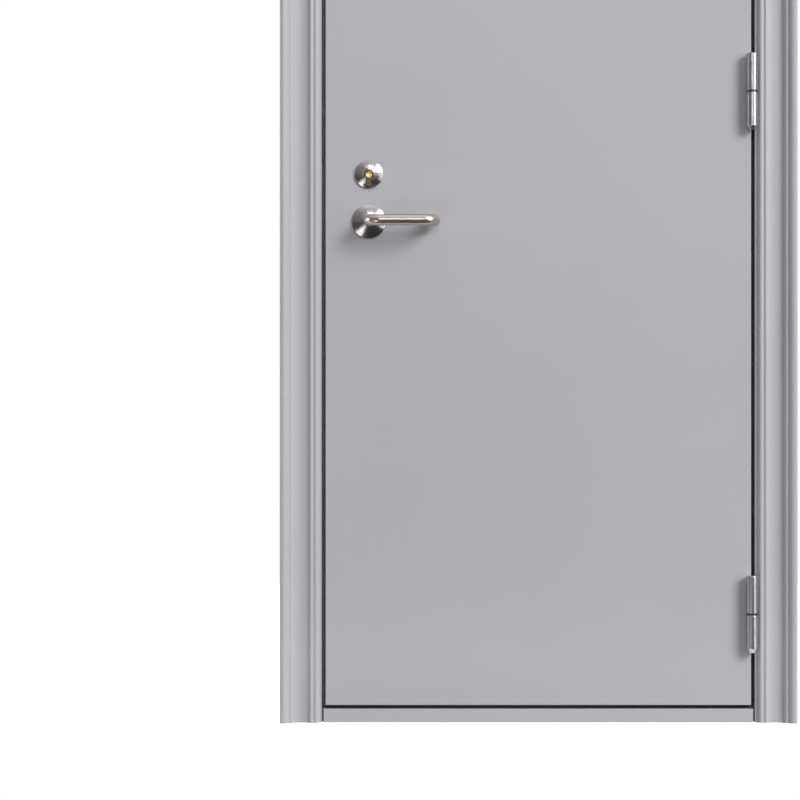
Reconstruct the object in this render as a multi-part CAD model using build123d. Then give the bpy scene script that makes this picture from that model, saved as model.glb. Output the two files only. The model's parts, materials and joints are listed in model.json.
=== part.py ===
from build123d import *
import os
from math import cos, hypot, pi, sqrt

os.makedirs("parts", exist_ok=True)

# A steel fire door: a moulded sheet frame, a flush leaf on three lift-off hinges, and lever furniture.
# Sizes are in mm. The floor is z = 0, x = 0 is the middle of the doorway, and the front faces -Y.

# Frame
frame_width = 1000.0
frame_height = 2100.0
frame_depth = 95.0
face_width = 88.0  # from the leaf's edge to the outer edge of the frame
frame_sheet = 1.5
stop_height = 18.0
wall_lip = 12.0  # how far the outer edge runs back to the wall
rear_flange = 46.0
rear_lip = 10.0

# Moulding on the face of the frame, from the doorway outwards
plain_margin = 3.5
bead_width = 22.5
cove_width = 24.7
step_width = 11.7
bead_rise = 7.5
shoulder_rise = 4.8
cove_rise = 2.6
step_rise = 13.5
roll_rise = 20.0
quirk_width = 3.6
quirk_depth = 1.5
bead_round = 7.0
step_round = 9.0
roll_round = 5.7

# Threshold
threshold_height = 26.0

# Leaf
leaf_thickness = 50.0
leaf_gap = 7.5
stop_clearance = 6.0
leaf_skin = 1.0
front_pan_depth = 30.0

# Seals, each in a pressed groove of the frame
seal_width = 12.0
seal_depth = 2.0
seal_setback = 42.0

# Hinges
hinge_length = 149.0
hinge_radius = 11.0
hinge_axis_out = 13.5  # from the face of the leaf to the hinge axis
hinge_axis_offset = 0.3  # from the edge of the leaf outwards to the hinge axis
hinge_pin_radius = 6.0
hinge_washer = 4.0
hinge_tip = 8.0
hinge_bevel = 1.0
hinge_plate = 2.4
hinge_plate_reach = 35.0
hinge_plate_margin = 6.0
hinge_end_setback = 177.0  # from the top or the bottom of the leaf
hinge_mid_height = 1220.0

# Lock
lock_backset = 84.0
lever_height = 969.5
cylinder_rise = 91.4  # above the lever
forend_width = 24.0
forend_thickness = 3.0
forend_margin = 74.0  # beyond the lever and the cylinder
case_thickness = 16.0
case_rear = 26.0  # behind the lever axis
case_margin = 44.0
latch_length = 26.0
latch_width = 14.0
bolt_length = 34.0
bolt_width = 14.0
strike_width = 24.0
strike_margin = 40.0
strike_window = 2.0
strike_box_depth = 25.0
strike_box_wall = 2.0

# Furniture
lever_rose_radius = 33.0
lever_rose_height = 11.0
cylinder_rose_radius = 27.5
cylinder_rose_height = 9.0
rose_edge = 3.0
lever_radius = 11.0
lever_out = 55.0  # from the leaf to the middle of the grip
lever_length = 126.0  # between the two legs of the lever
lever_bend = 22.0
lever_return = 14.0  # from the leaf to the end of the outer leg
lever_end_bevel = 2.0
spindle_size = 9.0
spindle_grip = 26.0
cylinder_radius = 8.5
cylinder_tail_width = 10.0
cylinder_tail = 24.5
cylinder_sink = 2.0
keyway_width = 2.2
keyway_depth = 8.0

# Wall anchors
anchor_plate = 3.0
anchor_height = 100.0
anchor_foot = 26.0
anchor_flange = 30.0
anchor_reach = 31.0
anchor_setback = 8.0
anchor_hole_radius = 5.5
anchor_hole_spacing = 60.0
anchor_low_height = 420.0
anchor_mid_height = 1290.0
anchor_top_setback = 200.0  # from the top of the frame

# Clearances
running_clearance = 0.3
seat_clearance = 0.3

# Places that follow from the sizes
front = -frame_depth / 2
leaf_edge = frame_width / 2 - face_width
leaf_top = frame_height - face_width
leaf_bottom = threshold_height + leaf_gap
leaf_back = front + leaf_thickness
rebate = leaf_back + stop_clearance
rear = front + frame_depth
web = leaf_edge + leaf_gap
web_back = web + frame_sheet
stop_edge = web - stop_height
hinge_x = leaf_edge + hinge_axis_offset
hinge_y = front - hinge_axis_out
lever_x = lock_backset - leaf_edge
leaf_middle = front + leaf_thickness / 2
cylinder_height = lever_height + cylinder_rise
hinge_heights = {
    "low": leaf_bottom + hinge_end_setback,
    "mid": hinge_mid_height,
    "top": leaf_top - hinge_end_setback,
}
anchor_heights = {
    "low": anchor_low_height,
    "mid": anchor_mid_height,
    "top": frame_height - anchor_top_setback,
}


def block(x_low, x_high, y_low, y_high, z_low, z_high):
    """A box between two opposite corners."""
    size = (x_high - x_low, y_high - y_low, z_high - z_low)
    centre = ((x_low + x_high) / 2, (y_low + y_high) / 2, (z_low + z_high) / 2)
    return Pos(*centre) * Box(*size)


def rod(x, z, radius, y_low, y_high):
    """A round bar along Y."""
    return Pos(x, (y_low + y_high) / 2, z) * Rot(90, 0, 0) * Cylinder(radius, y_high - y_low)


def upright(section, side):
    """A frame section, drawn from the leaf's edge outwards, run up one side and mitred at the top."""
    solid = extrude(Pos(leaf_edge, 0) * section, frame_height, dir=(0, 0, 1))
    mitre = Plane(origin=(leaf_edge, 0, leaf_top), z_dir=(1, 0, -1))
    solid = split(solid, bisect_by=mitre, keep=Keep.TOP)
    return solid if side > 0 else mirror(solid, about=Plane.YZ)


def across(section):
    """The same section run across the top and mitred at both ends."""
    end = Plane(origin=(-frame_width / 2, 0, leaf_top), x_dir=(0, 0, 1), z_dir=(-1, 0, 0))
    solid = extrude(end * section, frame_width, dir=(1, 0, 0))
    for side in (-1, 1):
        mitre = Plane(origin=(side * leaf_edge, 0, leaf_top), z_dir=(-side, 0, 1))
        solid = split(solid, bisect_by=mitre, keep=Keep.TOP)
    return solid


def frame_section():
    """The folded sheet of the frame, from its rear lip round the stop and the moulding to the wall."""
    stop = leaf_gap - stop_height
    groove = leaf_gap + seal_depth
    seal_front = front + seal_setback
    seal_back = seal_front + seal_width
    bead = leaf_gap + plain_margin
    quirk = bead + bead_width / 2
    quirk_end = quirk + quirk_width / 2
    cove = bead + bead_width
    step = cove + cove_width
    roll = step + step_width
    bead_top = front - bead_rise
    shoulder = front - shoulder_rise
    step_top = front - step_rise
    roll_top = front - roll_rise
    folds = Polyline(
        (stop + rear_flange, rear - rear_lip),
        (stop + rear_flange, rear),
        (stop, rear),
        (stop, rebate),
        (leaf_gap, rebate),
        (leaf_gap, seal_back),
        (groove, seal_back),
        (groove, seal_front),
        (leaf_gap, seal_front),
        (leaf_gap, front),
        (bead, front),
    )
    first_bead = RadiusArc((bead, front), (bead + bead_round, bead_top), -bead_round)
    bead_flat = Line(first_bead @ 1, (quirk - quirk_width / 2, bead_top))
    quirk_arc = ThreePointArc(
        bead_flat @ 1,
        (quirk, bead_top + quirk_depth),
        (quirk_end, bead_top),
    )
    second_bead = ThreePointArc(
        quirk_arc @ 1,
        ((quirk_end + cove) / 2, bead_top + (bead_rise - shoulder_rise) / 6),
        (cove, shoulder),
    )
    cove_arc = ThreePointArc(
        second_bead @ 1,
        ((cove + step) / 2, front - cove_rise),
        (step, shoulder),
    )
    step_arc = RadiusArc(cove_arc @ 1, (step + step_round, step_top), -step_round)
    tread = Line(step_arc @ 1, (roll, step_top))
    crown = face_width - roll_round
    crown_rise = roll_rise - step_rise
    roll_radius = ((crown - roll) ** 2 + crown_rise**2) / (2 * crown_rise)
    roll_arc = RadiusArc(tread @ 1, (crown, roll_top), -roll_radius)
    outer_arc = RadiusArc(roll_arc @ 1, (face_width, roll_top + roll_round), -roll_round)
    edge = Line(outer_arc @ 1, (face_width, front + wall_lip))
    curves = [first_bead, bead_flat, quirk_arc, second_bead, cove_arc, step_arc, tread, roll_arc, outer_arc]
    visible = Wire(folds.edges() + [curve.edge() for curve in curves] + edge.edges())
    return make_face(visible.offset_2d(frame_sheet, Kind.ARC, Side.LEFT))


def seal_section():
    """The strip that fills the pressed groove, flush with the frame."""
    return Pos(leaf_gap + seal_depth / 2, front + seal_setback + seal_width / 2) * Rectangle(
        seal_depth, seal_width
    )


def strike_span(reach):
    """The low and high ends of a plate that passes the lever and the cylinder by a reach."""
    return lever_height - reach, cylinder_height + reach


def make_frame():
    section = frame_section()
    jamb = upright(section, 1)
    low, high = strike_span(strike_margin)
    strike_front = leaf_middle - strike_width / 2
    strike_back = leaf_middle + strike_width / 2
    hole = block(
        -web_back - seat_clearance, -web + seat_clearance,
        strike_front - seat_clearance, strike_back + seat_clearance,
        low - seat_clearance, high + seat_clearance,
    )
    export_step(jamb, "parts/hinge_jamb.step")
    export_step(upright(section, -1) - hole, "parts/lock_jamb.step")
    export_step(across(section), "parts/head.step")
    strip = seal_section()
    export_step(upright(strip, 1), "parts/hinge_seal.step")
    export_step(upright(strip, -1), "parts/lock_seal.step")
    export_step(across(strip), "parts/head_seal.step")


def make_threshold():
    """A closed hollow sill that runs between the webs, with its rear part between the stops."""
    profile = Polyline(
        (front, 0),
        (rear, 0),
        (rear, threshold_height + stop_height),
        (rebate, threshold_height + stop_height),
        (rebate, threshold_height),
        (front, threshold_height),
        close=True,
    )
    outer = make_face(profile)
    inner = offset(outer, -frame_sheet, kind=Kind.INTERSECTION)
    end = Plane(origin=(-web, 0, 0), x_dir=(0, 1, 0), z_dir=(1, 0, 0))
    sill = extrude(end * (outer - inner), 2 * web, dir=(1, 0, 0))
    for side in (-1, 1):
        stop_room = block(stop_edge, web + 1, rebate, rear + 1, -1, threshold_height + stop_height + 1)
        sill -= stop_room if side > 0 else mirror(stop_room, about=Plane.YZ)
    export_step(sill, "parts/threshold.step")


def lock_windows(x_low, x_high, growth):
    """Blocks through which the latch and the dead bolt pass, grown all round."""
    latch = block(
        x_low, x_high,
        leaf_middle - latch_width / 2 - growth, leaf_middle + latch_width / 2 + growth,
        lever_height - latch_length / 2 - growth, lever_height + latch_length / 2 + growth,
    )
    bolt = block(
        x_low, x_high,
        leaf_middle - bolt_width / 2 - growth, leaf_middle + bolt_width / 2 + growth,
        cylinder_height - bolt_length / 2 - growth, cylinder_height + bolt_length / 2 + growth,
    )
    return latch, bolt


def make_strike():
    low, high = strike_span(strike_margin)
    latch, bolt = lock_windows(-web_back - strike_box_depth + strike_box_wall, -web + 1, strike_window)
    plate = block(
        -web_back, -web,
        leaf_middle - strike_width / 2, leaf_middle + strike_width / 2, low, high,
    )
    box_half = strike_width / 2 + strike_box_wall
    box = block(
        -web_back - strike_box_depth, -web_back,
        leaf_middle - box_half, leaf_middle + box_half,
        low - strike_box_wall, high + strike_box_wall,
    )
    export_step(plate - latch - bolt, "parts/strike_plate.step")
    export_step(box - latch - bolt, "parts/strike_box.step")


def make_anchors():
    """Folded brackets behind the frame, each with two holes for the wall fixings."""
    foot_front = front + anchor_setback
    foot_back = foot_front + anchor_foot
    flange_x = web_back + anchor_reach
    for place, height in anchor_heights.items():
        low, high = height - anchor_height / 2, height + anchor_height / 2
        foot = block(web_back, web_back + anchor_plate, foot_front, foot_back, low, high)
        arm = block(web_back, flange_x, foot_back - anchor_plate, foot_back, low, high)
        flange = block(
            flange_x - anchor_plate, flange_x,
            foot_back - anchor_plate, foot_back + anchor_flange, low, high,
        )
        anchor = foot + arm + flange
        for side in (-1, 1):
            hole = Pos(
                flange_x, foot_back + anchor_flange / 2, height + side * anchor_hole_spacing / 2
            ) * Rot(0, 90, 0) * Cylinder(anchor_hole_radius, 4 * anchor_plate)
            anchor -= hole
        export_step(anchor, f"parts/hinge_side_anchor_{place}.step")
        export_step(mirror(anchor, about=Plane.YZ), f"parts/lock_side_anchor_{place}.step")


def barrel(low, high, taper_low, taper_high):
    """A turned hinge knuckle whose two ends taper over the given lengths."""
    outline = Polyline(
        (0, low),
        (hinge_radius - taper_low / 2, low),
        (hinge_radius, low + taper_low),
        (hinge_radius, high - taper_high),
        (hinge_radius - taper_high / 2, high),
        (0, high),
        close=True,
    )
    return Pos(hinge_x, hinge_y, 0) * revolve(Plane.XZ * make_face(outline), Axis.Z)


def make_hinges():
    """Lift-off hinges: the lower half holds the pin, and the upper half drops on to it."""
    half = (hinge_length - hinge_washer) / 2
    plate_start = hinge_y + hinge_pin_radius + 2 * running_clearance
    plate_end = front + hinge_plate_reach
    for place, height in hinge_heights.items():
        joint_low = height - hinge_washer / 2
        joint_high = height + hinge_washer / 2
        pin_low = joint_low - half / 2
        pin_high = height + half - hinge_tip
        pin = Pos(hinge_x, hinge_y, (pin_low + pin_high) / 2) * Cylinder(
            hinge_pin_radius, pin_high - pin_low
        )
        bore_low = joint_high - hinge_washer
        bore_high = pin_high + running_clearance
        bore = Pos(hinge_x, hinge_y, (bore_low + bore_high) / 2) * Cylinder(
            hinge_pin_radius + running_clearance, bore_high - bore_low
        )
        washer = Pos(hinge_x, hinge_y, height) * Cylinder(hinge_radius - running_clearance, hinge_washer)
        lower = barrel(joint_low - half, joint_low, hinge_tip, hinge_bevel)
        lower += block(
            web - hinge_plate, web, plate_start, plate_end,
            joint_low - half + hinge_tip, joint_low - hinge_plate_margin,
        )
        upper = barrel(joint_high + running_clearance, joint_high + half, hinge_bevel, 2 * hinge_bevel)
        upper += block(
            leaf_edge, leaf_edge + hinge_plate, plate_start, plate_end,
            joint_high + hinge_plate_margin, joint_high + half - hinge_plate_margin,
        )
        export_step(lower - pin, f"parts/hinge_{place}_frame_half.step")
        export_step(upper - bore, f"parts/hinge_{place}_leaf_half.step")
        export_step(washer - pin, f"parts/hinge_{place}_washer.step")
        export_step(pin, f"parts/hinge_{place}_pin.step")


def euro_profile(growth, y_low, y_high):
    """The keyhole outline of the cylinder, grown all round, as a bar along Y."""
    tail_bottom = cylinder_height - cylinder_tail + cylinder_tail_width / 2
    tail_half = cylinder_tail_width / 2 + growth
    bar = rod(lever_x, cylinder_height, cylinder_radius + growth, y_low, y_high)
    bar += block(lever_x - tail_half, lever_x + tail_half, y_low, y_high, tail_bottom, cylinder_height)
    return bar + rod(lever_x, tail_bottom, tail_half, y_low, y_high)


def make_leaf():
    """Two folded pans back to back round a board core, cut for the lock, the spindle and the cylinder."""
    forend_low, forend_high = strike_span(forend_margin)
    forend_room = block(
        -leaf_edge - 1, -leaf_edge + forend_thickness,
        leaf_middle - forend_width / 2, leaf_middle + forend_width / 2, forend_low, forend_high,
    )
    case_low, case_high = strike_span(case_margin)
    case_room = block(
        -leaf_edge, lever_x + case_rear + seat_clearance,
        leaf_middle - case_thickness / 2 - seat_clearance,
        leaf_middle + case_thickness / 2 + seat_clearance,
        case_low - seat_clearance, case_high + seat_clearance,
    )
    spindle_room = rod(lever_x, lever_height, spindle_size, front - 1, leaf_back + 1)
    cylinder_room = euro_profile(2 * seat_clearance, front - 1, leaf_back + 1)
    through = forend_room + spindle_room + cylinder_room
    inner = block(
        -leaf_edge + leaf_skin, leaf_edge - leaf_skin, front + leaf_skin, leaf_back - leaf_skin,
        leaf_bottom + leaf_skin, leaf_top - leaf_skin,
    )
    seam = front + front_pan_depth
    front_pan = block(-leaf_edge, leaf_edge, front, seam, leaf_bottom, leaf_top)
    back_pan = block(-leaf_edge, leaf_edge, seam, leaf_back, leaf_bottom, leaf_top)
    export_step(front_pan - inner - through, "parts/front_skin.step")
    export_step(back_pan - inner - through, "parts/back_skin.step")
    export_step(inner - through - case_room, "parts/leaf_core.step")


def make_lock():
    forend_low, forend_high = strike_span(forend_margin)
    case_low, case_high = strike_span(case_margin)
    forend_back = -leaf_edge + forend_thickness
    latch, bolt = lock_windows(-leaf_edge, forend_back, 0)
    forend = block(
        -leaf_edge, forend_back,
        leaf_middle - forend_width / 2, leaf_middle + forend_width / 2, forend_low, forend_high,
    )
    case = block(
        forend_back, lever_x + case_rear,
        leaf_middle - case_thickness / 2, leaf_middle + case_thickness / 2, case_low, case_high,
    )
    case -= rod(lever_x, lever_height, spindle_size, front, leaf_back)
    case -= euro_profile(0, front, leaf_back)
    export_step(forend - latch - bolt, "parts/lock_forend.step")
    export_step(case, "parts/lock_case.step")
    export_step(latch, "parts/latch_bolt.step")
    export_step(bolt, "parts/dead_bolt.step")


def to_back(shape):
    """The same piece on the other face of the leaf."""
    return mirror(shape, about=Plane(origin=(0, leaf_middle, 0), z_dir=(0, 1, 0)))


def dome(x, z, radius, height, hole_radius):
    """A round plate on the front of the leaf, its crown part of a ball centred on its axis."""
    centre = (radius**2 + rose_edge**2 - hole_radius**2 - height**2) / (2 * (rose_edge - height))
    ball = hypot(radius, rose_edge - centre)
    half_way = (radius + hole_radius) / 2
    crown = ThreePointArc(
        (radius, rose_edge),
        (half_way, centre + sqrt(ball**2 - half_way**2)),
        (hole_radius, height),
    )
    rim = Polyline((hole_radius, height), (hole_radius, 0), (radius, 0), (radius, rose_edge))
    profile = make_face(crown.edges() + rim.edges())
    turned = revolve(Plane.XZ * profile, Axis.Z)
    return Pos(x, front, z) * Rot(90, 0, 0) * turned


def make_furniture():
    neck_room = lever_radius + running_clearance
    lever_rose = dome(lever_x, lever_height, lever_rose_radius, lever_rose_height, neck_room)
    plug_room = cylinder_radius + 2 * seat_clearance
    cylinder_rose = dome(
        lever_x, cylinder_height, cylinder_rose_radius, cylinder_rose_height, cylinder_radius / 2
    )
    cylinder_rose -= euro_profile(plug_room - cylinder_radius, front - cylinder_rose_height - 1, front)
    export_step(lever_rose, "parts/front_lever_rose.step")
    export_step(to_back(lever_rose), "parts/back_lever_rose.step")
    export_step(cylinder_rose, "parts/front_cylinder_rose.step")
    export_step(to_back(cylinder_rose), "parts/back_cylinder_rose.step")

    end = front - cylinder_rose_height + cylinder_sink
    cylinder = euro_profile(0, end, 2 * leaf_middle - end)
    for low in (end, 2 * leaf_middle - end - keyway_depth):
        cylinder -= block(
            lever_x - keyway_width / 2, lever_x + keyway_width / 2, low, low + keyway_depth,
            cylinder_height - cylinder_radius * cos(pi / 4), cylinder_height + cylinder_radius / 2,
        )
    export_step(cylinder, "parts/lock_cylinder.step")


def make_levers():
    """Round bar levers that turn back towards the leaf, joined by the square spindle."""
    grip = front - lever_out
    path = FilletPolyline(
        (lever_x, front - running_clearance, lever_height),
        (lever_x, grip, lever_height),
        (lever_x + lever_length, grip, lever_height),
        (lever_x + lever_length, front - lever_return, lever_height),
        radius=lever_bend,
    )
    start = Plane(origin=path @ 0, z_dir=path % 0)
    lever = sweep(start * Circle(lever_radius), path=path)
    rims = lever.edges().filter_by(GeomType.CIRCLE).sort_by(Axis.X)
    lever = chamfer(rims[-1:], lever_end_bevel)
    half = spindle_size / 2
    spindle = block(
        lever_x - half, lever_x + half,
        front - spindle_grip, leaf_back + spindle_grip, lever_height - half, lever_height + half,
    )
    lever -= spindle
    export_step(lever, "parts/front_lever.step")
    export_step(to_back(lever), "parts/back_lever.step")
    export_step(spindle, "parts/spindle.step")


make_frame()
make_threshold()
make_strike()
make_anchors()
make_hinges()
make_leaf()
make_lock()
make_furniture()
make_levers()
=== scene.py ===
import json
from math import atan2, cos, hypot, pi, radians, sin, sqrt

import bpy
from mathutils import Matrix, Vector


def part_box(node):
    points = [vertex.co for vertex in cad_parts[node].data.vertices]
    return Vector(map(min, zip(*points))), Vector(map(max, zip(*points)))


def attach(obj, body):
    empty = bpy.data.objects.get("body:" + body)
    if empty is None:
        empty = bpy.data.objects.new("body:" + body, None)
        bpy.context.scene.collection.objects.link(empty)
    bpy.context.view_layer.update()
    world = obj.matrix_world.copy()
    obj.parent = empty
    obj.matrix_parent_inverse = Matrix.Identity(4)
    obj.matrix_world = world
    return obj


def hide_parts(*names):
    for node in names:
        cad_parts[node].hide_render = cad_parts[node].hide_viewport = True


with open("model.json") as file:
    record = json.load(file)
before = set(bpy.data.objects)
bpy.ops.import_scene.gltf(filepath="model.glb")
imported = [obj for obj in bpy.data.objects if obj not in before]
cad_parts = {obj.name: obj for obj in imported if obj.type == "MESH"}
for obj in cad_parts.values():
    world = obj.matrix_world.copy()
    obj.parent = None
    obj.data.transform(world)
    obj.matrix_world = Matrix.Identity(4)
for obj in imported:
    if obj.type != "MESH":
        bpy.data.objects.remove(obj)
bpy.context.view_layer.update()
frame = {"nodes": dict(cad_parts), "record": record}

nodes = frame["nodes"]
joints = {joint["name"]: joint for joint in frame["record"]["behaviour"]["joints"]}

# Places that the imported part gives, in metres
leaf_low, leaf_high = (Vector(corner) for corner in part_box("front_skin"))
edge = leaf_high.x
leaf_bottom, leaf_top = leaf_low.z, leaf_high.z
front, seam = leaf_low.y, leaf_high.y
leaf_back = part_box("back_skin")[1][1]
leaf_middle = (front + leaf_back) / 2
hinge_x, hinge_y = joints["leaf_swing"]["pos_m"][:2]
lever_x, _, lever_z = joints["lever_turn"]["pos_m"]
cylinder_low, cylinder_high = (Vector(corner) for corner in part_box("front_cylinder_rose"))
cylinder_z = (cylinder_low.z + cylinder_high.z) / 2
frame_high = Vector(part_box("head")[1])

# Sizes of the frame's fold round the leaf, in metres
sheet = 0.0015
gap = 0.0075
web = edge + gap
stop_height = 0.018
rebate = leaf_back + 0.006
rear_flange = 0.046
rear_lip = 0.010
wall_return = 0.012
seal_front = front + 0.042
seal_back = seal_front + 0.012
seal_depth = 0.002

# Sizes of the moulding: widths outward from the gap, rises forward of the leaf's face
plain_margin = 0.0035
bead_width = 0.0225
cove_width = 0.0260
step_width = 0.0104
bead_rise = 0.0075
shoulder_rise = 0.0048
cove_rise = 0.0026
step_rise = 0.0127
roll_rise = 0.0200
bead_foot = (0.0003, 0.0012)  # out and forward, where the bead's slope begins
bead_slope = ((0.0018, 0.0027), (0.0039, 0.0046))  # out and forward, at its middle and its end
step_slope = ((0.0020, 0.0029), (0.0042, 0.0052))
roll_slope = ((0.0027, 0.0031), (0.0057, 0.0056))
bead_flat, bead_round = 0.0074, 0.0038
step_flat, step_round = 0.0082, 0.0062
roll_round = 0.0057
quirk_start, quirk_bottom, quirk_side, quirk_end = 0.0095, 0.0122, 0.0144, 0.0168
quirk_depth = 0.0012
crest_rise = 0.0007

# Sizes of the threshold and the leaf
joint_width, joint_depth = 0.004, 0.016  # the open joint between a jamb and the threshold
sill_fold = 0.0016
skin = 0.001
skin_fold = 0.0013

# Sizes of the ironmongery
hinge_radius = 0.011
pin_radius = 0.006
plate_gap = 0.0024
lever_radius = 0.011
lever_out = 0.055
lever_length = 0.126
lever_bend = 0.022
lever_return = 0.014
lever_end_round = 0.002
euro_radius, euro_tail, euro_drop = 0.0085, 0.005, 0.0245
euro_room = 0.0006
ring_pitch = 0.0006  # between the lines that turning leaves on a rose
ring_depth = 0.00006

# Sizes of the fits between pieces
clearance = 0.0003
past = 0.001  # how far a cutter passes the face that it opens


# Modelling

def deselect():
    bpy.ops.object.select_all(action="DESELECT")


def only(piece):
    """Makes one piece the only one selected, and the active one."""
    deselect()
    piece.select_set(True)
    bpy.context.view_layer.objects.active = piece


def edit():
    bpy.ops.object.mode_set(mode="EDIT")


def leave():
    bpy.ops.object.mode_set(mode="OBJECT")


def at(value, place):
    return abs(value - place) < 1e-6


def pick_edges(test):
    """Selects the active piece's edges whose middle passes the test, in edit mode."""
    edit()
    bpy.ops.mesh.select_mode(type="EDGE")
    bpy.ops.mesh.select_all(action="DESELECT")
    leave()
    piece = bpy.context.object
    vertices = piece.data.vertices
    for line in piece.data.edges:
        start, end = (vertices[index].co for index in line.vertices)
        line.select = test(piece.matrix_world @ ((start + end) / 2))
    edit()


def tidy_normals():
    """Joins doubled vertices of the active piece and turns its faces outwards."""
    edit()
    bpy.ops.mesh.select_all(action="SELECT")
    bpy.ops.mesh.remove_doubles(threshold=1e-6)
    bpy.ops.mesh.normals_make_consistent(inside=False)
    leave()


def modify(piece, kind, **settings):
    """Adds a modifier with these settings and applies it."""
    only(piece)
    modifier = piece.modifiers.new(kind.lower(), kind)
    for name, value in settings.items():
        setattr(modifier, name, value)
    bpy.ops.object.modifier_apply(modifier=modifier.name)


def cut(piece, *cutters):
    """Takes the cutters out of a piece."""
    for cutter in cutters:
        modify(piece, "BOOLEAN", operation="DIFFERENCE", solver="EXACT", object=cutter)
        bpy.data.objects.remove(cutter)
    only(piece)


def join(piece, other):
    """Adds another closed piece to this one."""
    modify(piece, "BOOLEAN", operation="UNION", solver="EXACT", object=other)
    bpy.data.objects.remove(other)


def soften(piece, width, segments, test):
    """Rounds the edges that pass the test."""
    only(piece)
    pick_edges(test)
    bpy.ops.mesh.bevel(offset=width, segments=segments, profile=0.5, affect="EDGES")
    leave()


def half_plane(point, normal):
    """Cuts the active piece by a plane, fills the cut, and drops what the normal points at."""
    edit()
    bpy.ops.mesh.select_all(action="SELECT")
    bpy.ops.mesh.bisect(plane_co=point, plane_no=normal, use_fill=True, clear_outer=True)
    leave()


def chain(name, points):
    """A row of joined vertices through the points, left in edit mode with all of it selected."""
    deselect()
    bpy.ops.mesh.primitive_plane_add(size=0.001, location=points[0])
    bpy.context.object.name = name
    edit()
    bpy.ops.mesh.select_mode(type="VERT")
    bpy.ops.mesh.select_all(action="SELECT")
    bpy.ops.mesh.merge(type="CENTER")
    for start, end in zip(points, points[1:]):
        step = Vector(end) - Vector(start)
        bpy.ops.mesh.extrude_vertices_move(TRANSFORM_OT_translate={"value": step})
    bpy.ops.mesh.select_all(action="SELECT")
    return bpy.context.object


def extrude(move):
    bpy.ops.mesh.extrude_region_move(TRANSFORM_OT_translate={"value": move})


def prism(name, outline, move):
    """A closed outline filled and extruded."""
    piece = chain(name, outline + outline[:1])
    bpy.ops.mesh.remove_doubles(threshold=1e-7)
    bpy.ops.mesh.select_all(action="SELECT")
    bpy.ops.mesh.edge_face_add()
    extrude(move)
    tidy_normals()
    return piece


def crate(name, low, high):
    """A block between two corners."""
    (x_low, y_low, z_low), (x_high, y_high, z_high) = low, high
    ground = [(x_low, y_low), (x_high, y_low), (x_high, y_high), (x_low, y_high)]
    return prism(name, [(x, y, z_low) for x, y in ground], (0, 0, z_high - z_low))


def turned(name, profile, centre, axis, steps):
    """A profile of (radius, height) pairs turned about an axis through the centre."""
    axis = Vector(axis)
    radial = Vector((1, 0, 0))
    points = [Vector(centre) + radial * radius + axis * height for radius, height in profile]
    piece = chain(name, points)
    bpy.ops.mesh.spin(steps=steps, angle=2 * pi, center=centre, axis=axis)
    tidy_normals()
    return piece


def copy_of(piece, name, move=(0, 0, 0), turn=0.0, flip=None):
    """A copy with a mesh of its own, turned about Z, flipped along an axis about the origin, and moved."""
    only(piece)
    bpy.ops.object.duplicate(linked=False)
    copied = bpy.context.object
    copied.name = name
    copied.rotation_euler.z += turn
    if flip is not None:
        copied.scale[flip] = -1
    copied.location += Vector(move)
    bpy.ops.object.transform_apply(location=True, rotation=True, scale=True)
    if flip is not None:
        tidy_normals()
    return copied


def mirrored_to_back(piece, name):
    """The same piece on the other face of the leaf."""
    return copy_of(piece, name, (0, 2 * leaf_middle, 0), flip=1)


def apply_place(piece):
    only(piece)
    bpy.ops.object.transform_apply(location=True, rotation=True, scale=True)


def finished(piece, body, finish, replaced=(), look=None):
    """Puts a piece's place in its mesh, smooths it, and gives it its finish and body."""
    apply_place(piece)
    piece.data.materials.clear()
    piece.data.materials.append(finishes[look or finish])
    bpy.ops.object.shade_smooth_by_angle(angle=radians(35))
    modify(piece, "WEIGHTED_NORMAL", keep_sharp=True)
    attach(piece, body)
    if replaced:
        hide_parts(*replaced)


# Materials

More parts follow.
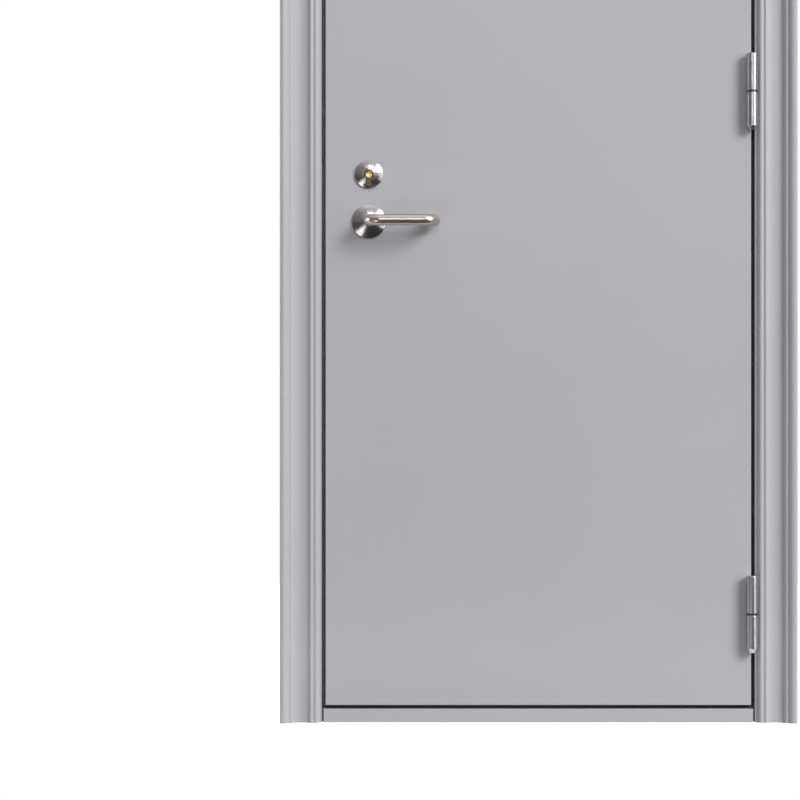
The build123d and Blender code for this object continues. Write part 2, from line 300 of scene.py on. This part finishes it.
class Wire:
    """A socket in a material's nodes. Sums and products of wires add Math nodes."""

    def __init__(self, tree, socket=None):
        self.tree = tree
        self.socket = socket

    def node(self, kind, settings=None, inputs=None, output=0):
        """Adds a node: its settings are set first, then its sockets are filled or linked."""
        made = self.tree.nodes.new(kind)
        for name, value in (settings or {}).items():
            if name == "stops":
                while len(made.color_ramp.elements) < len(value):
                    made.color_ramp.elements.new(0.5)
                for element, (position, level) in zip(made.color_ramp.elements, value):
                    element.position = position
                    element.color = (level, level, level, 1)
            else:
                setattr(made, name, value)
        for name, value in (inputs or {}).items():
            if isinstance(value, Wire):
                self.tree.links.new(value.socket, made.inputs[name])
            else:
                made.inputs[name].default_value = value
        return Wire(self.tree, made.outputs[output])

    def math(self, operation, *values):
        return self.node("ShaderNodeMath", {"operation": operation}, dict(enumerate(values)))

    def __add__(self, other):
        return self.math("ADD", self, other)

    __radd__ = __add__

    def __mul__(self, other):
        return self.math("MULTIPLY", self, other)

    __rmul__ = __mul__

    def place(self, stretch=(1, 1, 1)):
        """The place on the piece, in metres, squeezed by a factor along each axis."""
        here = self.node("ShaderNodeTexCoord", output="Object")
        return self.node("ShaderNodeMapping", {}, {"Vector": here, "Scale": stretch})

    def noise(self, scale, detail=2.0, stretch=(1, 1, 1)):
        """Noise around 0.5 with about this many lumps to a metre."""
        inputs = {"Vector": self.place(stretch), "Scale": scale, "Detail": detail, "Roughness": 0.5}
        return self.node("ShaderNodeTexNoise", {}, inputs)

    def ramp(self, *stops):
        """This value passed through a ramp of (position, level) stops."""
        return self.node("ShaderNodeValToRGB", {"stops": stops}, {"Fac": self})

    def seen(self, within=1.0):
        """1 for camera rays, and the factor for rays that a metal or a glass sends on."""
        camera, glossy, through = (
            self.node("ShaderNodeLightPath", output=f"Is {kind} Ray")
            for kind in ("Camera", "Glossy", "Transmission")
        )
        return camera.math("MAXIMUM", camera, glossy.math("MAXIMUM", glossy, through) * within)

    def mixed(self, factor, first, second):
        """Two colours mixed by a factor."""
        inputs = {0: factor, 6: first, 7: second}
        return self.node("ShaderNodeMix", {"data_type": "RGBA"}, inputs, output=2)


finishes = {}


def colour(red, green, blue):
    return (red, green, blue, 1.0)


def start_finish(name):
    """Starts a material, and returns the wire that adds nodes to it."""
    made = bpy.data.materials.new(name)
    made.use_nodes = True
    finishes[name] = made
    return Wire(made.node_tree)


def fill_finish(name, sockets, height=None, depth=0.0, strength=1.0):
    """Fills the shader's sockets with constants or wires, and bumps it by a height."""
    tree = finishes[name].node_tree
    shader = tree.nodes["Principled BSDF"]
    if height is not None:
        inputs = {"Height": height, "Distance": depth, "Strength": strength}
        sockets = dict(sockets, Normal=Wire(tree).node("ShaderNodeBump", {}, inputs))
    for socket, value in sockets.items():
        if isinstance(value, Wire):
            tree.links.new(value.socket, shader.inputs[socket])
        else:
            shader.inputs[socket].default_value = value


def make_powder_coat():
    """Satin grey powder coat: a faint orange peel, with slow drifts of tone and gloss."""
    wire = start_finish("grey_powder_coat")
    drift = wire.noise(2.3, 3.0)
    peel = wire.noise(620.0, 1.5)
    peel_depth, peel_strength = 0.00006, 0.55
    fill_finish(
        "grey_powder_coat",
        {
            "Base Color": wire.mixed(drift, colour(0.415, 0.411, 0.437), colour(0.452, 0.447, 0.473)),
            "Roughness": 0.40 + wire.noise(9.0) * 0.10,
            "Metallic": 0.0,
            "Specular IOR Level": 0.4,
        },
        peel + wire.noise(14.0, 1.0) * 3.0, peel_depth, peel_strength,
    )


def make_metal(name, base, smooth, rough, grain, stretch, depth):
    """A bare metal whose grain lines run the long way of the stretch."""
    wire = start_finish(name)
    lines = wire.noise(grain, 3.0, stretch)
    smear = wire.noise(18.0, 3.0)
    dark = colour(*(0.86 * level for level in base))
    fill_finish(
        name,
        {
            "Base Color": wire.mixed(lines, dark, colour(*base)),
            "Roughness": smooth + (lines * 0.6 + smear * 0.4) * (rough - smooth),
            "Metallic": 1.0,
        },
        lines, depth, 0.4,
    )


def make_dull(name, grain, detail, dark, light, smooth, spread, depth, strength):
    """A dull stuff whose tone, roughness and bump follow one fine grain."""
    wire = start_finish(name)
    lumps = wire.noise(grain, detail)
    fill_finish(
        name,
        {
            "Base Color": wire.mixed(lumps, colour(*dark), colour(*light)),
            "Roughness": smooth + lumps * spread,
        },
        lumps, depth, strength,
    )


def make_finishes():
    make_powder_coat()
    for name, base, smooth, rough, grain, stretch, depth in (
        ("satin_steel", (0.52, 0.52, 0.53), 0.27, 0.40, 60.0, (30, 30, 0.6), 0.00001),
        ("bright_steel", (0.66, 0.66, 0.66), 0.14, 0.34, 90.0, (12, 12, 12), 0.00003),
        ("dark_steel", (0.10, 0.10, 0.105), 0.30, 0.50, 200.0, (1, 1, 1), 0.00003),
        ("zinc_steel", (0.50, 0.51, 0.54), 0.34, 0.62, 40.0, (1, 1, 1), 0.00005),
        ("polished_steel", (0.64, 0.61, 0.61), 0.13, 0.25, 40.0, (1, 1, 1), 0.00001),
        ("lever_steel", (0.60, 0.53, 0.50), 0.26, 0.40, 60.0, (0.5, 20, 20), 0.00002),
        ("brass", (0.76, 0.58, 0.30), 0.20, 0.36, 300.0, (1, 1, 1), 0.00002),
        # painted shade: the cylinder body is brass, and this near-black colour stands for the shade in the
        # recess of the cylinder rose
        ("cylinder_body", (0.15, 0.12, 0.09), 0.34, 0.55, 300.0, (1, 1, 1), 0.00002),
    ):
        make_metal(name, base, smooth, rough, grain, stretch, depth)
    for name, grain, detail, dark, light, smooth, spread, depth, strength in (
        ("graphite_seal", 900.0, 3.0, (0.035, 0.035, 0.038), (0.075, 0.075, 0.08), 0.62, 0.2, 0.0002, 0.6),
        ("mineral_board", 260.0, 6.0, (0.50, 0.47, 0.40), (0.68, 0.65, 0.58), 0.85, 0.1, 0.0006, 0.8),
    ):
        make_dull(name, grain, detail, dark, light, smooth, spread, depth, strength)


def finish_cad_nodes():
    """Gives each node that still shows the finish of its slot."""
    for part in frame["record"]["subparts"]:
        for slot in nodes[part["node"]].material_slots:
            slot.material = finishes[part["material_slot"]]


# Outline of the frame

def curve_through(start, middle, end, steps):
    """Points after the start along the circle through three points."""
    (ax, ay), (bx, by), (cx, cy) = start, middle, end
    double_area = 2 * (ax * (by - cy) + bx * (cy - ay) + cx * (ay - by))
    a2, b2, c2 = ax * ax + ay * ay, bx * bx + by * by, cx * cx + cy * cy
    ox = (a2 * (by - cy) + b2 * (cy - ay) + c2 * (ay - by)) / double_area
    oy = (a2 * (cx - bx) + b2 * (ax - cx) + c2 * (bx - ax)) / double_area
    radius = hypot(ax - ox, ay - oy)
    first = atan2(ay - oy, ax - ox)
    last = atan2(cy - oy, cx - ox)
    turn = (last - first + pi) % (2 * pi) - pi
    angles = [first + turn * step / steps for step in range(1, steps + 1)]
    return [(ox + radius * cos(angle), oy + radius * sin(angle)) for angle in angles]


def curve_of_radius(start, end, radius, steps):
    """Points after the start along an arc that bows to the right of the way to the end."""
    dx, dy = end[0] - start[0], end[1] - start[1]
    span = hypot(dx, dy)
    rise = radius - sqrt(radius**2 - span**2 / 4)
    middle = ((start[0] + end[0]) / 2 + rise * dy / span, (start[1] + end[1]) / 2 - rise * dx / span)
    return curve_through(start, middle, end, steps)


def up_slope(start, slope):
    """Points after the start up a slope, whose middle and end lie so far out and forward of it."""
    middle, end = ((start[0] + out, start[1] - forward) for out, forward in slope)
    return curve_through(start, middle, end, 4)


def moulding():
    """The frame's outline from its rear lip to the wall: distance from the leaf's edge, and Y."""
    stop = gap - stop_height
    rear = frame_high.y
    bead = gap + plain_margin
    cove = bead + bead_width
    step = cove + cove_width
    roll = step + step_width
    outer = frame_high.x - edge
    crown = outer - roll_round
    bead_top, shoulder = front - bead_rise, front - shoulder_rise
    step_top, roll_top = front - step_rise, front - roll_rise
    line = [
        (stop + rear_flange, rear - rear_lip), (stop + rear_flange, rear), (stop, rear), (stop, rebate),
        (gap, rebate), (gap, seal_back), (gap + seal_depth, seal_back), (gap + seal_depth, seal_front),
        (gap, seal_front), (gap, front), (bead, front), (bead + bead_foot[0], front - bead_foot[1]),
    ]
    line += up_slope(line[-1], bead_slope)
    line += curve_of_radius(line[-1], (bead + bead_flat, bead_top), bead_round, 6)
    line += [(bead + quirk_start, bead_top), (bead + quirk_bottom, bead_top + quirk_depth)]
    crest = (bead + quirk_end, bead_top - crest_rise)
    line += curve_through(line[-1], (bead + quirk_side, bead_top + quirk_depth / 4), crest, 5)
    line += curve_through(crest, ((crest[0] + cove) / 2, bead_top + quirk_depth / 3), (cove, shoulder), 6)
    line += curve_through(line[-1], ((cove + step) / 2, front - cove_rise), (step, shoulder), 10)
    line += up_slope(line[-1], step_slope)
    line += curve_of_radius(line[-1], (step + step_flat, step_top), step_round, 6)
    line += [(roll, step_top)]
    line += up_slope(line[-1], roll_slope)
    crown_rise = line[-1][1] - roll_top
    roll_radius = ((crown - line[-1][0]) ** 2 + crown_rise**2) / (2 * crown_rise)
    line += curve_of_radius(line[-1], (crown, roll_top), roll_radius, 7)
    line += curve_of_radius(line[-1], (outer, roll_top + roll_round), roll_round, 7)
    line += [(outer, front + wall_return)]
    return line


# Pieces of the frame

def make_jambs_and_head():
    """The two jambs and the head, one folded section, each mitred to half the joint short."""
    line = moulding()
    half_joint = 0.00015
    jamb = chain("hinge_jamb_moulding", [(edge + out, y, 0) for out, y in line])
    extrude((0, 0, frame_high.z))
    leave()
    modify(jamb, "SOLIDIFY", thickness=sheet, offset=-1, use_even_offset=True)
    half_plane((edge + half_joint, 0, leaf_top), (-1, 0, 1))
    tidy_normals()
    apply_place(jamb)
    other = copy_of(jamb, "lock_jamb_moulding", flip=0)
    low, high = (Vector(corner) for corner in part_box("strike_plate"))
    room = Vector((sheet, clearance, clearance))
    cut(other, crate("strike_room", low - room, high + room))
    finished(jamb, "frame", "grey_powder_coat", ["hinge_jamb"])
    finished(other, "frame", "grey_powder_coat", ["lock_jamb"])

    head = chain("head_moulding", [(-frame_high.x, y, leaf_top + out) for out, y in line])
    extrude((2 * frame_high.x, 0, 0))
    leave()
    modify(head, "SOLIDIFY", thickness=sheet, offset=1, use_even_offset=True)
    for side in (-1, 1):
        only(head)
        half_plane((side * (edge - half_joint), 0, leaf_top), (side, 0, -1))
    tidy_normals()
    finished(head, "frame", "grey_powder_coat", ["head"])


def make_threshold():
    """A folded sill with a raised stop at its back, and an open joint at each jamb."""
    low, high = (Vector(corner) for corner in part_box("threshold"))
    tread = leaf_bottom - gap
    stop_edge = web - stop_height
    overlap = 0.002
    lower = crate("threshold_sill", (-web, low.y, 0), (web, rebate, tread))
    join(lower, crate("upstand", (-stop_edge, rebate - overlap, 0), (stop_edge, high.y, high.z)))
    apply_place(lower)
    soften(lower, sill_fold, 4, lambda middle: at(middle.x, 0) and middle.z > tread - sill_fold)
    for side in (-1, 1):
        x_low, x_high = sorted((side * (web - joint_width), side * (web + past)))
        cut(lower, crate("joint", (x_low, low.y - past, -past), (x_high, low.y + joint_depth, tread + past)))
    tidy_normals()
    finished(lower, "frame", "grey_powder_coat", ["threshold"])


# Pieces of the leaf

def euro_bar(name, grow, y_low, y_high):
    """A bar with the keyhole outline of the cylinder, grown all round."""
    steps = 20
    radius, tail = euro_radius + grow, euro_tail + grow
    tail_z = cylinder_z - euro_drop + euro_tail
    begin = atan2(-sqrt(radius**2 - tail**2), tail)
    sweep = 2 * pi - 2 * (pi / 2 + begin)
    outline = []
    for step in range(2 * steps + 1):
        angle = begin + sweep * step / (2 * steps)
        outline.append((lever_x + radius * cos(angle), y_low, cylinder_z + radius * sin(angle)))
    for step in range(steps + 1):
        angle = -pi + pi * step / steps
        outline.append((lever_x + tail * cos(angle), y_low, tail_z + tail * sin(angle)))
    return prism(name, outline, (0, y_high - y_low, 0))


def make_skin(name, outer_y, inner_y, node):
    """One folded pan of the leaf, with rounded folds, cut for the lock."""
    side = 1 if outer_y < inner_y else -1
    pan_y = sorted((outer_y, inner_y))
    room_y = sorted((outer_y + side * skin, inner_y + side * skin))
    pan = crate(name, (-edge, pan_y[0], leaf_bottom), (edge, pan_y[1], leaf_top))
    apply_place(pan)
    soften(pan, skin_fold, 5, lambda middle: at(middle.y, outer_y))
    room_low = (-edge + skin, room_y[0], leaf_bottom + skin)
    room_high = (edge - skin, room_y[1], leaf_top - skin)
    forend_low, forend_high = (Vector(corner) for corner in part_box("lock_forend"))
    hole_radius, reach = 0.009, 0.04
    hole = [(0, -reach), (hole_radius, -reach), (hole_radius, reach), (0, reach)]
    cut(
        pan,
        crate("core_room", room_low, room_high),
        crate("forend_room", forend_low - Vector((past, 0, 0)), forend_high),
        turned("spindle_room", hole, (lever_x, leaf_middle, lever_z), (0, 1, 0), 32),
        euro_bar("cylinder_room", euro_room, front - past, leaf_back + past),
    )
    tidy_normals()
    finished(pan, "leaf", "grey_powder_coat", [node])


# Screws and hinges

def make_screw():
    """A countersunk screw head with a cross recess, facing +X at the origin."""
    radius, sunk, crown = 0.0046, 0.0012, 0.0004
    arm_reach, arm_half, recess = 0.0026, 0.0004, 0.0006
    profile = [
        (0, -sunk), (radius - 0.0010, -sunk), (radius, -0.0001), (radius - 0.0001, 0.00025),
        (radius - 0.0006, crown), (0, crown),
    ]
    screw = turned("screw", profile, (0, 0, 0), (0, 0, 1), 32)
    for x, y in ((arm_reach, arm_half), (arm_half, arm_reach)):
        cut(screw, crate("arm", (-x, -y, -recess), (x, y, past)))
    screw.rotation_euler.y = pi / 2
    apply_place(screw)
    return screw


def add_screws(screw, name, body, x, facing, spots):
    """Copies of the screw on a face at x, one at each (y, z) spot."""
    for number, (y, z) in enumerate(spots, 1):
        turn = 0.0 if facing > 0 else pi
        copied = copy_of(screw, f"{name}_screw_{number}", (x, y, z), turn)
        finished(copied, body, "bright_steel")


def hinge_half(name, profile, z, plate_low, plate_high):
    """A turned knuckle joined to its plate, whose far edge has rounded corners."""
    corner = 0.006
    knuckle = turned(name, profile, (hinge_x, hinge_y, z), (0, 0, 1), 72)
    plate = crate("plate", plate_low, plate_high)
    apply_place(plate)
    plate_x = (plate_low[0] + plate_high[0]) / 2
    soften(plate, corner, 6, lambda middle: at(middle.x, plate_x) and at(middle.y, plate_high[1]))
    join(knuckle, plate)
    tidy_normals()
    return knuckle


def make_hinges(screw):
    """Lift-off hinges: a lower half on the jamb round the pin, and a bored upper half on the leaf."""
    tip_inset, ease = 0.0046, 0.0006
    taper, taper_ease = 0.0086, 0.0008
    cap_round = 0.0022
    plate_y = hinge_y + 0.0068
    plate_inset = 0.006
    tip_room = 0.008
    near, far = front + 0.010, front + 0.026
    screw_inset, low_screw_inset = 0.014, 0.016
    bore = pin_radius + clearance
    for place in ("low", "mid", "top"):
        lower_low, lower_high = (Vector(corner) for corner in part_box(f"hinge_{place}_frame_half"))
        upper_low, upper_high = (Vector(corner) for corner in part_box(f"hinge_{place}_leaf_half"))
        pin_low, pin_high = (corner[2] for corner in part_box(f"hinge_{place}_pin"))

        z = lower_low.z
        end, seat = lower_high.z - z, pin_low - z
        profile = [
            (0, 0), (hinge_radius - tip_inset, 0), (hinge_radius - tip_inset + ease, ease),
            (hinge_radius - 0.0002, taper - taper_ease), (hinge_radius, taper), (hinge_radius, end - 0.001),
            (hinge_radius - ease, end), (pin_radius, end), (pin_radius, seat), (0, seat),
        ]
        plate_low = (web - plate_gap, plate_y, z + tip_room)
        plate_high = (web, lower_high.y, lower_high.z - plate_inset)
        knuckle = hinge_half(f"hinge_{place}_lower_knuckle", profile, z, plate_low, plate_high)
        finished(knuckle, "frame", "satin_steel", [f"hinge_{place}_frame_half"])

        z = upper_low.z
        end, bore_end = upper_high.z - z, pin_high + clearance - z
        profile = [
            (bore, 0), (hinge_radius - ease, 0), (hinge_radius, 0.001), (hinge_radius, end - cap_round),
            (hinge_radius - 0.0004, end - 0.0012), (hinge_radius - 0.0012, end - 0.0003),
            (hinge_radius - cap_round, end), (0, end), (0, bore_end), (bore, bore_end), (bore, 0),
        ]
        plate_low = (edge, plate_y, z + plate_inset)
        plate_high = (edge + plate_gap, upper_high.y, upper_high.z - plate_inset)
        knuckle = hinge_half(f"hinge_{place}_upper_knuckle", profile, z, plate_low, plate_high)
        finished(knuckle, "leaf", "satin_steel", [f"hinge_{place}_leaf_half"])

        for body, x, facing, low, high in (
            ("frame", web - plate_gap, -1, lower_low.z + low_screw_inset, lower_high.z - screw_inset),
            ("leaf", edge + plate_gap, 1, upper_low.z + screw_inset, upper_high.z - screw_inset),
        ):
            spots = [(far, low), (near, (low + high) / 2), (far, high)]
            add_screws(screw, f"hinge_{place}_{body}", body, x, facing, spots)


# Plates of the lock

def around(node, grow):
    """A cutter round a node, grown by a clearance and reaching through along X."""
    through = 0.02
    low, high = (Vector(corner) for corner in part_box(node))
    room = Vector((through, grow, grow))
    return crate("opening", low - room, high + room)


def edge_plate(node, name, body, openings, screw, facing, inset):
    """A plate on the edge of the leaf or the frame, with eased edges, openings and a screw at each end."""
    ease = 0.0004
    low, high = (Vector(corner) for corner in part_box(node))
    plate = crate(name, low, high)
    apply_place(plate)
    face = high.x if facing > 0 else low.x
    soften(plate, ease, 2, lambda middle: at(middle.x, face))
    cut(plate, *openings)
    tidy_normals()
    finished(plate, body, "satin_steel", [node])
    middle = (low.y + high.y) / 2
    add_screws(screw, name, body, face, facing, [(middle, low.z + inset), (middle, high.z - inset)])


def make_lock_edges(screw):
    """The forend on the leaf's edge and the strike plate on the jamb, open where the bolts pass."""
    for node, name, body, room, facing, inset in (
        ("lock_forend", "forend_plate", "leaf", 0.00015, -1, 0.012),
        ("strike_plate", "strike_cover", "frame", 0.002, 1, 0.010),
    ):
        openings = [around(bolt, room) for bolt in ("latch_bolt", "dead_bolt")]
        edge_plate(node, name, body, openings, screw, facing, inset)


# Furniture

def dome_profile(radius, height, hole):
    """The crown of a rose, part of a ball on its axis, with a rounded rim and a soft inner edge."""
    rim, rim_round, lip = 0.003, 0.0006, 0.0007
    foot_ease = 0.0004
    centre = (radius**2 + rim**2 - hole**2 - height**2) / (2 * (rim - height))
    ball = hypot(radius, rim - centre)
    profile = [
        (hole, 0.0), (radius - foot_ease, 0.0), (radius, foot_ease), (radius, rim - 2 * rim_round),
        (radius - 0.00015, rim - 0.0005),
    ]
    start, end = radius - rim_round, hole + lip
    steps = 4 * round((start - end) / ring_pitch)
    for step in range(steps + 1):
        out = start + (end - start) * step / steps
        groove = ring_depth * (cos(pi / 2 * step) - 1) / 2
        profile.append((out, centre + sqrt(ball**2 - out**2) + groove))
    top = profile[-1][1]
    profile += [(hole + 0.0002, top - 0.0002), (hole, top - 0.0008), (hole, 0.0)]
    return profile


def make_roses():
    """A turned cover round the lever and one round the cylinder, on both faces."""
    lever_rose_radius, lever_rose_height = 0.033, 0.011
    cylinder_rose_radius, cylinder_rose_height = 0.0275, 0.009
    steps = 128
    profile = dome_profile(lever_rose_radius, lever_rose_height, lever_radius + clearance)
    rose = turned("front_lever_rose_cover", profile, (lever_x, front, lever_z), (0, -1, 0), steps)
    apply_place(rose)
    back = mirrored_to_back(rose, "back_lever_rose_cover")
    finished(rose, "leaf", "polished_steel", ["front_lever_rose"])
    finished(back, "leaf", "polished_steel", ["back_lever_rose"])

    profile = dome_profile(cylinder_rose_radius, cylinder_rose_height, euro_radius / 2)
    rose = turned("front_cylinder_rose_cover", profile, (lever_x, front, cylinder_z), (0, -1, 0), steps)
    cut(rose, euro_bar("euro_room", euro_room, front - cylinder_rose_height - 0.003, front + past))
    tidy_normals()
    apply_place(rose)
    back = mirrored_to_back(rose, "back_cylinder_rose_cover")
    finished(rose, "leaf", "polished_steel", ["front_cylinder_rose"])
    finished(back, "leaf", "polished_steel", ["back_cylinder_rose"])


def make_cylinder():
    """The cylinder's body, with a turned plug and its keyway at each end."""
    low, high = (Vector(corner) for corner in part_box("lock_cylinder"))
    body_ease = 0.0005
    recess = 0.0006
    plug_radius, plug_depth = 0.0068, 0.0033
    play = 0.0002
    room_radius, room_depth, room_length = plug_radius + play, plug_depth + play, 0.004
    body = euro_bar("cylinder_body", 0.0, low.y + recess, high.y - recess)
    apply_place(body)
    soften(body, body_ease, 2, lambda middle: not at(middle.y, leaf_middle))
    room = [(0, 0.0), (room_radius, 0.0), (room_radius, room_length), (0, room_length)]
    for y, way in ((low.y + recess + room_depth, -1), (high.y - recess - room_depth, 1)):
        cut(body, turned("plug_room", room, (lever_x, y, cylinder_z), (0, way, 0), 48))
    tidy_normals()
    # the brass body gets a near-black look: painted shade of the recess round the plug
    finished(body, "leaf", "brass", ["lock_cylinder"], look="cylinder_body")

    length = plug_depth + recess
    dish_radius, dish_edge = 0.0046, 0.0052
    profile = [
        (0, 0), (plug_radius - 0.0002, 0), (plug_radius, 0.0002), (plug_radius, length - 0.0005),
        (plug_radius - 0.0005, length), (dish_edge, length), (dish_radius, length - 0.0009),
        (0, length - 0.0012),
    ]
    plug_y = low.y + recess + plug_depth
    plug = turned("front_cylinder_plug", profile, (lever_x, plug_y, cylinder_z), (0, -1, 0), 64)
    mouth, slot_depth = low.y - past, 0.0034
    for left, right, down, up in ((0.0011, 0.0011, 0.0048, 0.0046), (0.0016, 0.0004, 0.0010, 0.0014)):
        slot_low = (lever_x - left, mouth, cylinder_z - down)
        slot_high = (lever_x + right, mouth + slot_depth, cylinder_z + up)
        cut(plug, crate("slot", slot_low, slot_high))
    tidy_normals()
    apply_place(plug)
    back = mirrored_to_back(plug, "back_cylinder_plug")
    finished(plug, "leaf", "brass")
    finished(back, "leaf", "brass")


def make_levers():
    """Round bar levers: a leg out of the rose, a bend, the grip, and a bend back to the leaf."""
    start_y, end_y = front - clearance, front - lever_return
    elbow_y = front - lever_out + lever_bend
    end_x = lever_x + lever_length
    deselect()
    bpy.ops.mesh.primitive_circle_add(
        vertices=56, radius=lever_radius, location=(lever_x, start_y, lever_z), rotation=(pi / 2, 0, 0),
    )
    lever = bpy.context.object
    lever.name = "front_lever_bar"
    edit()
    bpy.ops.mesh.select_all(action="SELECT")
    extrude((0, elbow_y - start_y, 0))
    near_bend, far_bend = (lever_x + lever_bend, elbow_y, lever_z), (end_x - lever_bend, elbow_y, lever_z)
    bpy.ops.mesh.spin(steps=16, angle=pi / 2, center=near_bend, axis=(0, 0, -1))
    extrude((lever_length - 2 * lever_bend, 0, 0))
    bpy.ops.mesh.spin(steps=16, angle=pi / 2, center=far_bend, axis=(0, 0, -1))
    extrude((0, end_y - lever_end_round - elbow_y, 0))
    steps = 5
    drawn_in, last = 1.0, 0.0
    for step in range(1, steps + 1):
        angle = pi / 2 * step / steps
        extrude((0, lever_end_round * (sin(angle) - sin(last)), 0))
        here = 1 - lever_end_round / lever_radius * (1 - cos(angle))
        shrink = here / drawn_in
        bpy.ops.transform.resize(value=(shrink, 1, shrink), center_override=(end_x, end_y, lever_z))
        drawn_in, last = here, angle
    tidy_normals()
    pick_edges(lambda middle: at(middle.y, start_y))
    bpy.ops.mesh.edge_face_add()
    pick_edges(lambda middle: at(middle.y, end_y) and middle.x > end_x - 2 * lever_radius)
    bpy.ops.mesh.edge_face_add()
    tidy_normals()
    low, high = (Vector(corner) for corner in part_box("spindle"))
    cut(lever, crate("square_room", low, high))
    tidy_normals()
    apply_place(lever)
    back = mirrored_to_back(lever, "back_lever_bar")
    finished(lever, "handle", "polished_steel", ["front_lever"], look="lever_steel")
    finished(back, "handle", "polished_steel", ["back_lever"], look="lever_steel")


# Stage, light and camera

def make_stage():
    """A pale floor that glows for the camera, and keeps the door's shadow."""
    width, depth, middle_y = 9, 4.0, 1.75
    glow_level, base_level = 0.88, 0.35
    deselect()
    bpy.ops.mesh.primitive_plane_add(size=1, location=(0, middle_y, 0))
    floor = bpy.context.object
    floor.name = "floor"
    floor.scale = (width, depth, 1)
    apply_place(floor)
    wire = start_finish("floor_white")
    glow = wire.mixed(wire.seen(), colour(0, 0, 0), colour(glow_level, glow_level, glow_level))
    fill_finish(
        "floor_white",
        {
            "Base Color": colour(base_level, base_level, base_level),
            "Roughness": 0.9,
            "Emission Color": glow,
            "Emission Strength": 1.0,
        },
    )
    floor.data.materials.append(finishes["floor_white"])


def make_world():
    """A grey sky, bright overhead, that is white to the camera and, behind the door, to mirror rays."""
    world = bpy.data.worlds.new("studio")
    bpy.context.scene.world = world
    world.use_nodes = True
    tree = world.node_tree
    wire = Wire(tree)
    way = wire.node("ShaderNodeTexCoord", output="Generated")
    up = wire.node("ShaderNodeSeparateXYZ", {}, {"Vector": way}, output="Z")
    back = wire.node("ShaderNodeSeparateXYZ", {}, {"Vector": way}, output="Y")
    level = (up * 0.5 + 0.5).ramp((0.30, 0.04), (0.48, 0.06), (0.53, 0.17), (0.80, 0.28), (0.96, 1.2))
    white = wire.seen(back.ramp((0.0, 0.0), (0.25, 1.0)))
    background = tree.nodes["Background"]
    tree.links.new(wire.mixed(white, level, colour(1, 1, 1)).socket, background.inputs["Color"])
    background.inputs["Strength"].default_value = 1.0


def make_lamps():
    """Lamps that all point at the middle of the photograph's part of the door."""
    target = Vector((0, 0, 0.8))
    for name, place, width, height, power in (
        ("key", (10.2, -9.6, 8.2), 6.6, 6.6, 2150),
        ("strip", (5.0, -3.7, 0.6), 1.4, 3.6, 58),
        ("front", (0.0, -5.4, 2.5), 0.8, 0.8, 36),
        ("low_left", (-2.7, -3.9, -1.5), 1.6, 1.6, 30),
        ("left", (-4.0, 0.5, 1.3), 1.6, 1.6, 50),
        ("behind", (-2.2, 3.8, 2.8), 3.2, 3.2, 110),
        ("behind_low", (2.6, 4.2, 1.2), 2.4, 2.4, 40),
    ):
        lamp = bpy.data.lights.new(name, "AREA")
        lamp.shape = "RECTANGLE"
        lamp.size = width
        lamp.size_y = height
        lamp.energy = power
        holder = bpy.data.objects.new(name, lamp)
        holder.location = place
        holder.rotation_euler = (target - Vector(place)).to_track_quat("-Z", "Y").to_euler()
        bpy.context.collection.objects.link(holder)


def make_camera():
    """Straight on at the height of the picture's middle, as the photograph is taken."""
    distance = 5.0
    picture_width = 1.5488
    picture_x, picture_z = -0.2678, 0.6242
    view = bpy.data.cameras.new("view")
    view.sensor_width = 36
    view.lens = view.sensor_width * distance / picture_width
    holder = bpy.data.objects.new("view", view)
    holder.location = (picture_x, front - distance, picture_z)
    holder.rotation_euler = (pi / 2, 0, 0)
    bpy.context.collection.objects.link(holder)
    bpy.context.scene.camera = holder
    bpy.context.scene.view_settings.view_transform = "Standard"


deselect()
make_camera()
make_world()
make_lamps()
make_finishes()
make_stage()
finish_cad_nodes()
make_jambs_and_head()
make_threshold()
make_skin("leaf_front_pan", front, seam, "front_skin")
make_skin("leaf_back_pan", leaf_back, seam, "back_skin")
first_screw = make_screw()
make_hinges(first_screw)
make_lock_edges(first_screw)
bpy.data.objects.remove(first_screw)
make_roses()
make_cylinder()
make_levers()
